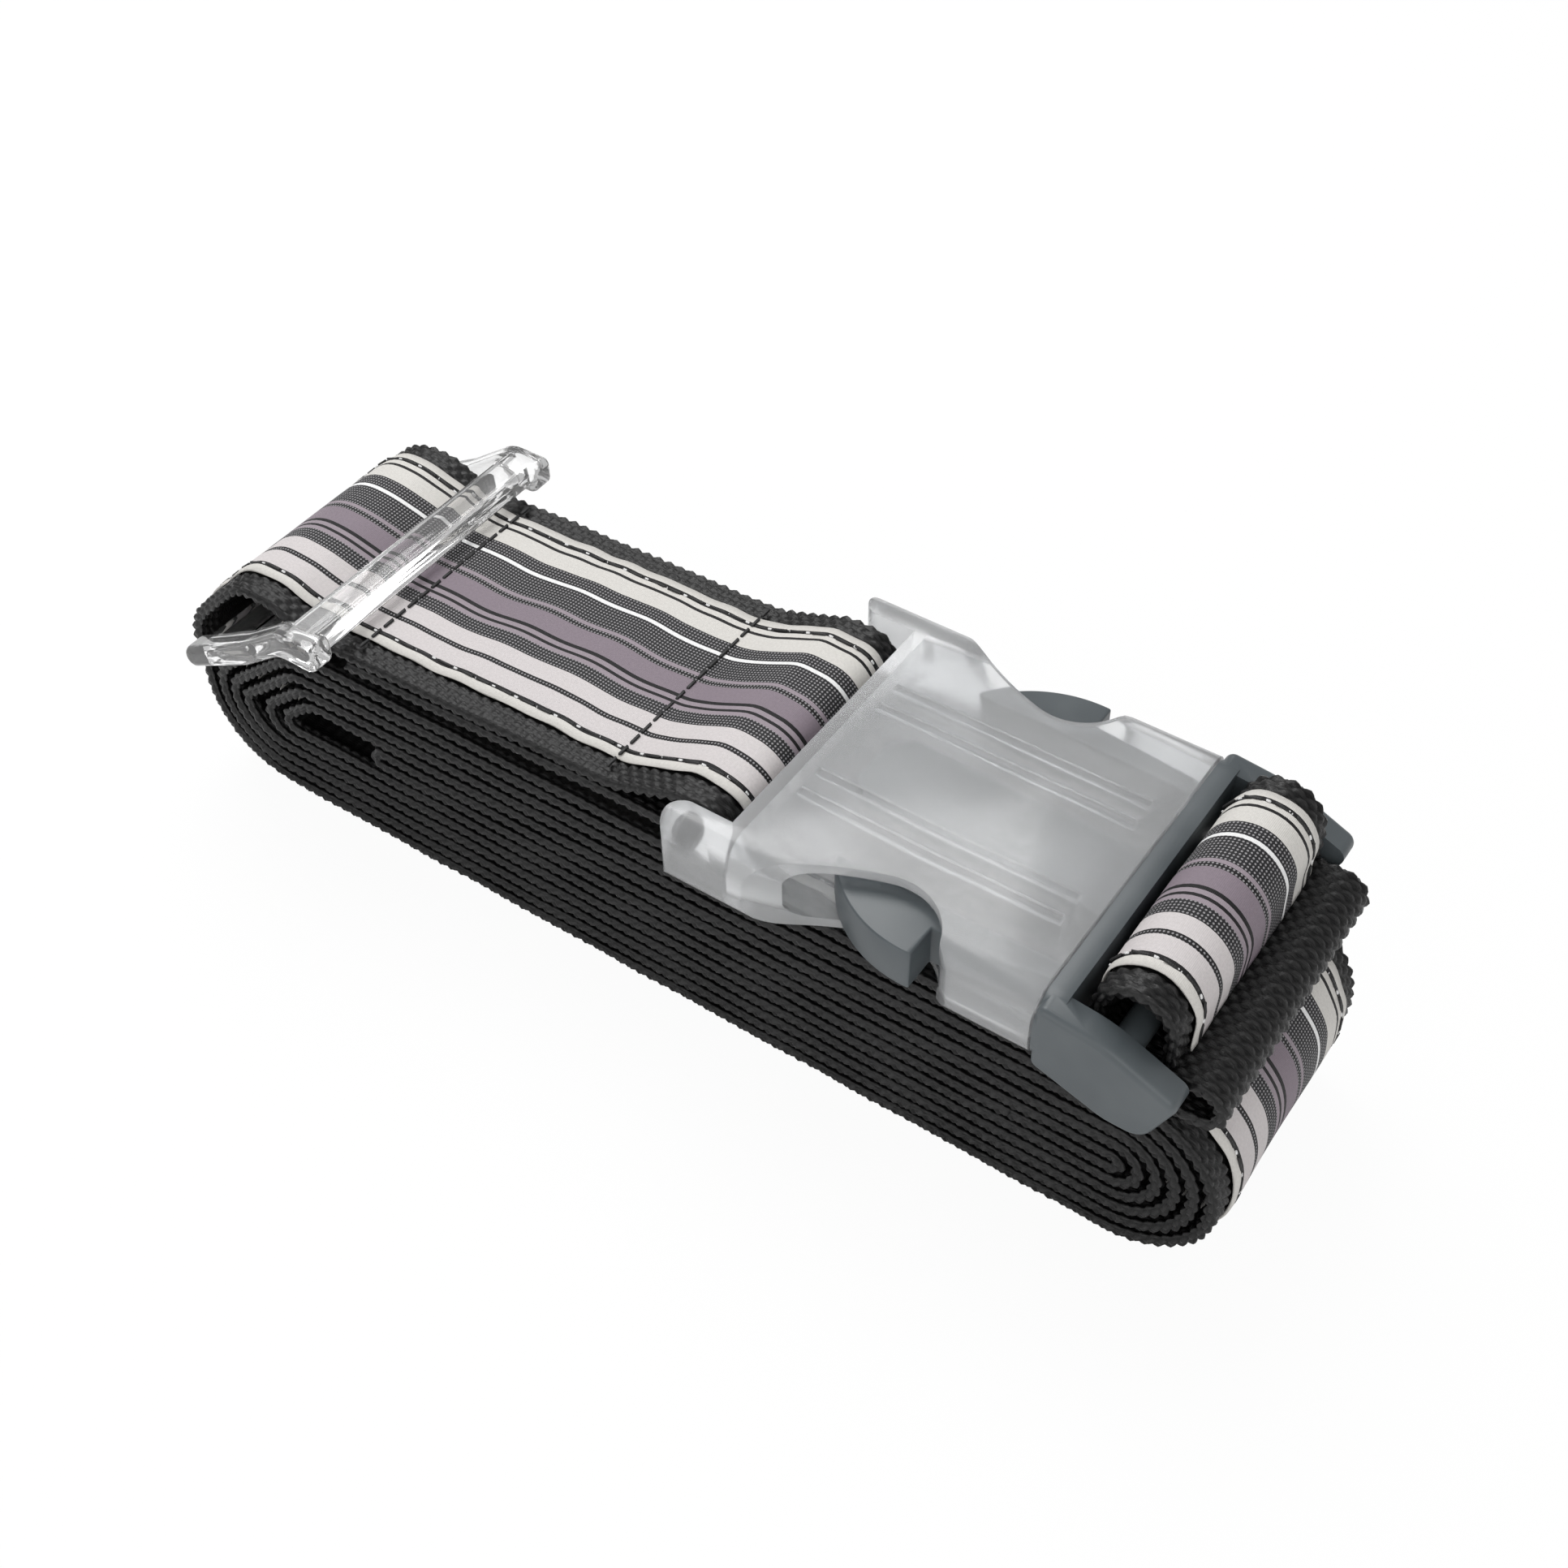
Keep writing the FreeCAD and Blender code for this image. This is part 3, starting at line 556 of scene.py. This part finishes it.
def from_belt_start(line):
    """The ribbon's line, run the way the webbing goes, and its side that faces away from it."""
    two_places = line["at"][[5, 60], None]
    beside = np.linalg.norm(whole_belt["at"][None, ::8] - two_places, axis=2).argmin(1)
    if beside[0] > beside[1]:
        line = turned_round(line)
    middle = len(line["s"]) // 2
    away = np.linalg.norm(whole_belt["at"] - line["at"][middle], axis=1)
    nearest = whole_belt["at"][away.argmin()]
    side = -math.copysign(1, (nearest - line["at"][middle]) @ line["left"][middle])
    return line, side


outer_ribbon_line, outer_side = from_belt_start(ribbon_lines[0])
inner_ribbon_line, inner_side = from_belt_start(ribbon_lines[1])
ribbon_outer = ribbon_along("ribbon_outer", outer_ribbon_line, outer_side)
ribbon_inner = ribbon_along("ribbon_inner", inner_ribbon_line, inner_side)
for piece, line in ((ribbon_outer, outer_ribbon_line), (ribbon_inner, inner_ribbon_line)):
    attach(piece, "roll")
    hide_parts("ribbon_main")

plug_ribbon_line = centre_line(*long_sides("ribbon_adjuster")[0], RIBBON_STEP)
if plug_ribbon_line["at"][0, 0] < plug_ribbon_line["at"][-1, 0]:
    plug_ribbon_line = turned_round(plug_ribbon_line)
ribbon_fold = ribbon_along("ribbon_fold", plug_ribbon_line, -1)
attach(ribbon_fold, "plug_half")
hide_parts("ribbon_adjuster")


# ---------------------------------------------------------------------------
# Stitches. Black thread in two long rows that hold the ribbon's edges to the
# webbing, and two rows straight across where the belt is doubled and sewn.
# Each stitch is a short plump length of thread half sunk in the ribbon.
# ---------------------------------------------------------------------------
STITCH_LENGTH = 0.0030
STITCH_PITCH = 0.0044
THREAD_RADIUS = 0.00028
THREAD_FLATTENED = 0.8
STITCH_PROUD = 0.00006
DOT_LENGTH = 0.0008
DOT_RADIUS = 0.00024
EDGE_ROW_AT = 0.0179
EDGE_ROWS_SEWN = 0.75
CROSS_STITCH_LENGTH = 0.0024
CROSS_STITCH_RADIUS = 0.00036
CROSS_STITCHES = 15
CROSS_SEAM_HALF = 0.0215


def thread_material(name, dark, light):
    """Twisted thread with painted shade, dark in the grooves of the twist and lighter on the strands."""
    material, tree, shader = new_material(name)
    shader.inputs["Roughness"].default_value = 0.55
    place = tree.nodes.new("ShaderNodeTexCoord")
    twist = tree.nodes.new("ShaderNodeTexWave")
    twist.inputs["Scale"].default_value = 900.0
    twist.inputs["Distortion"].default_value = 1.5
    bump = tree.nodes.new("ShaderNodeBump")
    bump.inputs["Strength"].default_value = 0.4
    bump.inputs["Distance"].default_value = 0.0001
    # Painted shade: the twist pattern darkens the thread's colour in its grooves.
    shade = tree.nodes.new("ShaderNodeValToRGB")
    shade.color_ramp.elements[0].color = dark
    shade.color_ramp.elements[1].color = light
    wire(tree, place, "Object", twist, "Vector")
    wire(tree, twist, "Fac", shade, "Fac")
    wire(tree, shade, "Color", shader, "Base Color")
    wire(tree, twist, "Fac", bump, "Height")
    wire(tree, bump, "Normal", shader, "Normal")
    return material


# Each thread's first colour is the painted shade in the grooves of its twist.
black_thread = thread_material("black thread", (0.004, 0.004, 0.004, 1), (0.018, 0.018, 0.019, 1))
white_thread = thread_material("white thread", (0.60, 0.60, 0.60, 1), (0.82, 0.82, 0.82, 1))


def one_stitch(length, radius):
    """Vertices and faces of a plump six-sided stitch that lies along x, with rounded ends."""
    bpy.ops.object.select_all(action="DESELECT")
    bpy.ops.mesh.primitive_cylinder_add(
        vertices=6, radius=radius, depth=length, rotation=(0, math.pi / 2, 0))
    stitch = bpy.context.object
    bpy.ops.object.transform_apply(rotation=True)
    bpy.ops.object.mode_set(mode="EDIT")
    work = bmesh.from_edit_mesh(stitch.data)
    for face in work.faces:
        face.select_set(abs(face.normal.x) > 0.9)
    bmesh.update_edit_mesh(stitch.data)
    bpy.ops.mesh.bevel(offset=0.7 * radius, segments=2)
    bpy.ops.object.mode_set(mode="OBJECT")
    places = np.array([tuple(v.co) for v in stitch.data.vertices])
    faces = [tuple(face.vertices) for face in stitch.data.polygons]
    bpy.data.objects.remove(stitch)
    return places, faces


def stitched(name, frames, length, radius, thread):
    """One piece of many stitches; frames are (place, along, across, out) for each."""
    shape, shape_faces = one_stitch(length, radius)
    places = []
    faces = []
    for place, along, across, out in frames:
        start = len(places) * len(shape)
        places.append(
            place + shape[:, :1] * along + shape[:, 1:2] * across + shape[:, 2:] * out * THREAD_FLATTENED)
        faces.extend([tuple(start + k for k in face) for face in shape_faces])
    mesh = bpy.data.meshes.new(name)
    places = np.vstack(places)
    places[:, 2] = np.maximum(places[:, 2], 0.0)
    mesh.from_pydata(places.tolist(), [], faces)
    piece = bpy.data.objects.new(name, mesh)
    bpy.context.scene.collection.objects.link(piece)
    select_only(piece)
    bpy.ops.object.mode_set(mode="EDIT")
    bpy.ops.mesh.select_all(action="SELECT")
    bpy.ops.mesh.normals_make_consistent(inside=False)
    bpy.ops.object.mode_set(mode="OBJECT")
    bpy.ops.object.shade_smooth()
    piece.data.materials.append(thread)
    return piece


def row_frames(line, side, y, first, last):
    """Stitch places along a ribbon line at one y, on its outer face."""
    frames = []
    for s in np.arange(first, last, STITCH_PITCH):
        k = int(np.searchsorted(line["s"], s).clip(1, len(line["s"]) - 1))
        run = line["at"][k] - line["at"][k - 1]
        run = run / np.linalg.norm(run)
        out = line["left"][k] * side
        place = line["at"][k] + out * (ribbon_thickness / 2 + STITCH_PROUD)
        frames.append((
            np.array([place[0], y, place[1]]), np.array([run[0], 0, run[1]]),
            np.array([0.0, 1.0, 0.0]), np.array([out[0], 0, out[1]])))
    return frames


for name, line, side, sewn, body in (
        ("edge", outer_ribbon_line, outer_side, EDGE_ROWS_SEWN, "roll"),
        ("fold", plug_ribbon_line, -1, float(plug_ribbon_line["s"][-1]), "plug_half")):
    stitch_frames = []
    dot_frames = []
    half = STITCH_PITCH / 2
    for y in (EDGE_ROW_AT, -EDGE_ROW_AT):
        stitch_frames += row_frames(line, side, y, half, sewn - half)
        dot_frames += row_frames(line, side, y, 2 * half, sewn - half)
    stitches = stitched(
        name + "_stitches", stitch_frames, STITCH_LENGTH, THREAD_RADIUS, black_thread)
    dots = stitched(name + "_dots", dot_frames, DOT_LENGTH, DOT_RADIUS, white_thread)
    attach(stitches, body)
    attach(dots, body)


def cross_seam(name, node):
    """A row of stitches straight across the belt, where the CAD seam lies."""
    low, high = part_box(node)
    top_face = outer_ribbon_line["at"]
    x = (low[0] + high[0]) / 2
    near_top = np.abs(top_face[:, 0] - x) + 10 * np.abs(top_face[:, 1] - high[2])
    k = int(near_top.argmin())
    run = top_face[k] - top_face[k - 1]
    run = run / np.linalg.norm(run)
    out = outer_ribbon_line["left"][k] * outer_side
    place = np.array([x, high[2] - THREAD_RADIUS])
    frames = []
    for y in np.linspace(-CROSS_SEAM_HALF, CROSS_SEAM_HALF, CROSS_STITCHES):
        frames.append((
            np.array([place[0], y, place[1]]), np.array([0.0, 1.0, 0.0]),
            np.array([run[0], 0, run[1]]), np.array([out[0], 0, out[1]])))
    piece = stitched(name, frames, CROSS_STITCH_LENGTH, CROSS_STITCH_RADIUS, black_thread)
    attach(piece, "roll")
    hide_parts(node)


cross_seam("stitches_buckle", "seam_buckle")
cross_seam("stitches_glide", "seam_glide")


# ---------------------------------------------------------------------------
# Socket of the buckle. Injection moulded in frosted clear acetal, with two
# ears, a bar that the sewn end of the belt turns round, and a window on each
# side for the plug's arms. Every edge has its moulded round.
# ---------------------------------------------------------------------------
EDGE_ROUND = 0.00035


def moulded(name, node, body):
    """A CAD node copied, cleaned to its flat faces and given rounded edges."""
    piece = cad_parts[node].copy()
    piece.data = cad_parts[node].data.copy()
    piece.name = name
    for key in list(piece.keys()):
        del piece[key]
    piece.parent = None
    piece.matrix_world.identity()
    bpy.context.scene.collection.objects.link(piece)
    piece.data.materials.clear()
    select_only(piece)
    bpy.ops.object.mode_set(mode="EDIT")
    bpy.ops.mesh.select_all(action="SELECT")
    bpy.ops.mesh.remove_doubles(threshold=1e-6)
    bpy.ops.mesh.dissolve_limited(angle_limit=0.01)
    bpy.ops.mesh.normals_make_consistent(inside=False)
    bpy.ops.object.mode_set(mode="OBJECT")
    bevel = piece.modifiers.new("round", "BEVEL")
    bevel.width = EDGE_ROUND
    bevel.segments = 2
    bevel.limit_method = "ANGLE"
    bevel.angle_limit = math.radians(35)
    bevel.use_clamp_overlap = True
    bpy.ops.object.modifier_apply(modifier="round")
    bpy.ops.object.shade_smooth_by_angle(angle=math.radians(38))
    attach(piece, body)
    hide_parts(node)
    return piece


def moulded_grain_group():
    """The fine uneven skin of a moulding: a value for finish and a bumped normal."""
    group, given, result = group_with(
        "moulded grain",
        [("Vector", "NodeSocketVector", None), ("Scale", "NodeSocketFloat", 700.0),
         ("Strength", "NodeSocketFloat", 0.1), ("Distance", "NodeSocketFloat", 0.0002)],
        [("Grain", "NodeSocketFloat"), ("Normal", "NodeSocketVector")])
    grain = group.nodes.new("ShaderNodeTexNoise")
    grain.inputs["Detail"].default_value = 4.0
    bump = group.nodes.new("ShaderNodeBump")
    wire(group, given, "Vector", grain, "Vector")
    wire(group, given, "Scale", grain, "Scale")
    wire(group, given, "Strength", bump, "Strength")
    wire(group, given, "Distance", bump, "Distance")
    wire(group, grain, "Fac", bump, "Height")
    wire(group, grain, "Fac", result, "Grain")
    wire(group, bump, "Normal", result, "Normal")
    return group


moulded_grain = moulded_grain_group()


def grained(tree, scale, strength, distance):
    """The moulded grain placed in a material on Object coordinates."""
    place = tree.nodes.new("ShaderNodeTexCoord")
    grain = tree.nodes.new("ShaderNodeGroup")
    grain.node_tree = moulded_grain
    grain.inputs["Scale"].default_value = scale
    grain.inputs["Strength"].default_value = strength
    grain.inputs["Distance"].default_value = distance
    wire(tree, place, "Object", grain, "Vector")
    return grain


def clear_material(name, colour, rough_low, rough_high, scale, strength, index, through):
    """Clear plastic with grain; what doesn't pass through it scatters as a milky haze."""
    material, tree, shader = new_material(name)
    shader.inputs["Base Color"].default_value = colour
    shader.inputs["IOR"].default_value = index
    shader.inputs["Transmission Weight"].default_value = through
    grain = grained(tree, scale, strength, 0.0002)
    rough = tree.nodes.new("ShaderNodeMapRange")
    rough.inputs["To Min"].default_value = rough_low
    rough.inputs["To Max"].default_value = rough_high
    wire(tree, grain, "Grain", rough, "Value")
    wire(tree, rough, "Result", shader, "Roughness")
    wire(tree, grain, "Normal", shader, "Normal")
    return material


frosted = clear_material(
    "frosted clear acetal", (0.90, 0.91, 0.92, 1), 0.16, 0.30, 700.0, 0.15, 1.42, 0.81)
socket = moulded("socket_shell", "socket", "socket_half")
socket.data.materials.append(frosted)


# ---------------------------------------------------------------------------
# Tri-glide. Injection moulded in clear polycarbonate and left glossy. The
# belt passes under its front bar and over the two rods behind, so that it is
# held by the bend between them.
# ---------------------------------------------------------------------------
glossy = clear_material(
    "clear polycarbonate", (0.97, 0.97, 0.97, 1), 0.03, 0.08, 300.0, 0.04, 1.48, 0.95)
glide = moulded("tri_glide_clear", "tri_glide", "roll")
glide.data.materials.append(glossy)


# ---------------------------------------------------------------------------
# Plug of the buckle. Injection moulded in satin grey nylon, with a bar for
# the adjustable strand and two spring arms whose lobes are pressed together
# to let the socket go. The arms are modelled as pieces of their own.
# ---------------------------------------------------------------------------
def grey_material():
    """Satin grey with faint patches that handling has polished."""
    material, tree, shader = new_material("satin grey nylon")
    grain = grained(tree, 3500.0, 0.12, 0.0001)
    shade = tree.nodes.new("ShaderNodeValToRGB")
    shade.color_ramp.elements[0].position = 0.35
    shade.color_ramp.elements[0].color = (0.062, 0.074, 0.081, 1)
    shade.color_ramp.elements[1].position = 0.7
    shade.color_ramp.elements[1].color = (0.082, 0.095, 0.102, 1)
    patches = tree.nodes.new("ShaderNodeTexNoise")
    patches.inputs["Scale"].default_value = 90.0
    rough = tree.nodes.new("ShaderNodeMapRange")
    rough.inputs["To Min"].default_value = 0.30
    rough.inputs["To Max"].default_value = 0.48
    place = tree.nodes.new("ShaderNodeTexCoord")
    wire(tree, place, "Object", patches, "Vector")
    wire(tree, patches, "Fac", shade, "Fac")
    wire(tree, patches, "Fac", rough, "Value")
    wire(tree, shade, "Color", shader, "Base Color")
    wire(tree, rough, "Result", shader, "Roughness")
    wire(tree, grain, "Normal", shader, "Normal")
    return material


grey = grey_material()
for name, node, body in (
        ("plug_frame", "plug", "plug_half"), ("arm_near", "latch_arm_near", "near_arm"),
        ("arm_far", "latch_arm_far", "far_arm")):
    moulded(name, node, body).data.materials.append(grey)


# ---------------------------------------------------------------------------
# Camera, light and a white floor under the belt. Three soft lamps and a white
# room light it. The floor is matt white paper, mixed with a white glow that
# only the camera sees, so that it stays white and keeps a faint shadow.
# ---------------------------------------------------------------------------
camera = bpy.data.objects.new("camera", bpy.data.cameras.new("camera"))
camera.location = (0.147136, -0.194437, 0.283614)
camera.rotation_euler = [math.radians(a) for a in (43.7559, 0.6134, 34.4756)]
camera.data.lens = 47.4
camera.data.sensor_width = 36.0
camera.data.clip_start = 0.01
bpy.context.scene.collection.objects.link(camera)
bpy.context.scene.camera = camera
bpy.context.scene.view_settings.view_transform = "Standard"


def area_light(name, place, aim, size, power):
    """A square soft lamp, turned towards a point."""
    lamp = bpy.data.objects.new(name, bpy.data.lights.new(name, "AREA"))
    lamp.location = place
    lamp.rotation_euler = (Vector(aim) - Vector(place)).to_track_quat("-Z", "Y").to_euler()
    lamp.data.size = size
    lamp.data.energy = power
    bpy.context.scene.collection.objects.link(lamp)


area_light("key", (-0.35, 0.25, 0.75), (0, 0, 0.03), 0.55, 5.0)
area_light("fill", (0.55, -0.55, 0.55), (0, 0, 0.03), 0.6, 1.8)
area_light("front", (-0.1, -0.7, 0.25), (0, 0, 0.02), 0.5, 1.0)

world = bpy.data.worlds.new("white room")
bpy.context.scene.world = world
world.use_nodes = True
backdrop = world.node_tree.nodes["Background"]
backdrop.inputs["Strength"].default_value = 0.5
backdrop.inputs["Color"].default_value = (1, 1, 1, 1)
seen = world.node_tree.nodes.new("ShaderNodeBackground")
seen.inputs["Strength"].default_value = 1.0
seen.inputs["Color"].default_value = (1, 1, 1, 1)
rays = world.node_tree.nodes.new("ShaderNodeLightPath")
mix = world.node_tree.nodes.new("ShaderNodeMixShader")
wire(world.node_tree, rays, "Is Camera Ray", mix, "Fac")
wire(world.node_tree, backdrop, "Background", mix, 1)
wire(world.node_tree, seen, "Background", mix, 2)
wire(world.node_tree, mix, "Shader", world.node_tree.nodes["World Output"], "Surface")

FLOOR_GLOW_SHARE = 0.94
FLOOR_BELOW = 0.00002
bpy.ops.mesh.primitive_plane_add(size=6, location=(0, 0, -FLOOR_BELOW))
floor = bpy.context.object
floor.name = "floor"
floor_white, floor_tree, floor_shader = new_material("white paper")
floor_shader.inputs["Base Color"].default_value = (0.92, 0.92, 0.92, 1)
floor_shader.inputs["Roughness"].default_value = 0.9
floor_glow = floor_tree.nodes.new("ShaderNodeEmission")
floor_glow.inputs["Strength"].default_value = 1.0
floor_rays = floor_tree.nodes.new("ShaderNodeLightPath")
floor_share = floor_tree.nodes.new("ShaderNodeMath")
floor_share.operation = "MULTIPLY"
floor_share.inputs[1].default_value = FLOOR_GLOW_SHARE
floor_mix = floor_tree.nodes.new("ShaderNodeMixShader")
wire(floor_tree, floor_rays, "Is Camera Ray", floor_share, 0)
wire(floor_tree, floor_share, "Value", floor_mix, "Fac")
wire(floor_tree, floor_shader, "BSDF", floor_mix, 1)
wire(floor_tree, floor_glow, "Emission", floor_mix, 2)
wire(floor_tree, floor_mix, "Shader", floor_tree.nodes["Material Output"], "Surface")
floor.data.materials.append(floor_white)
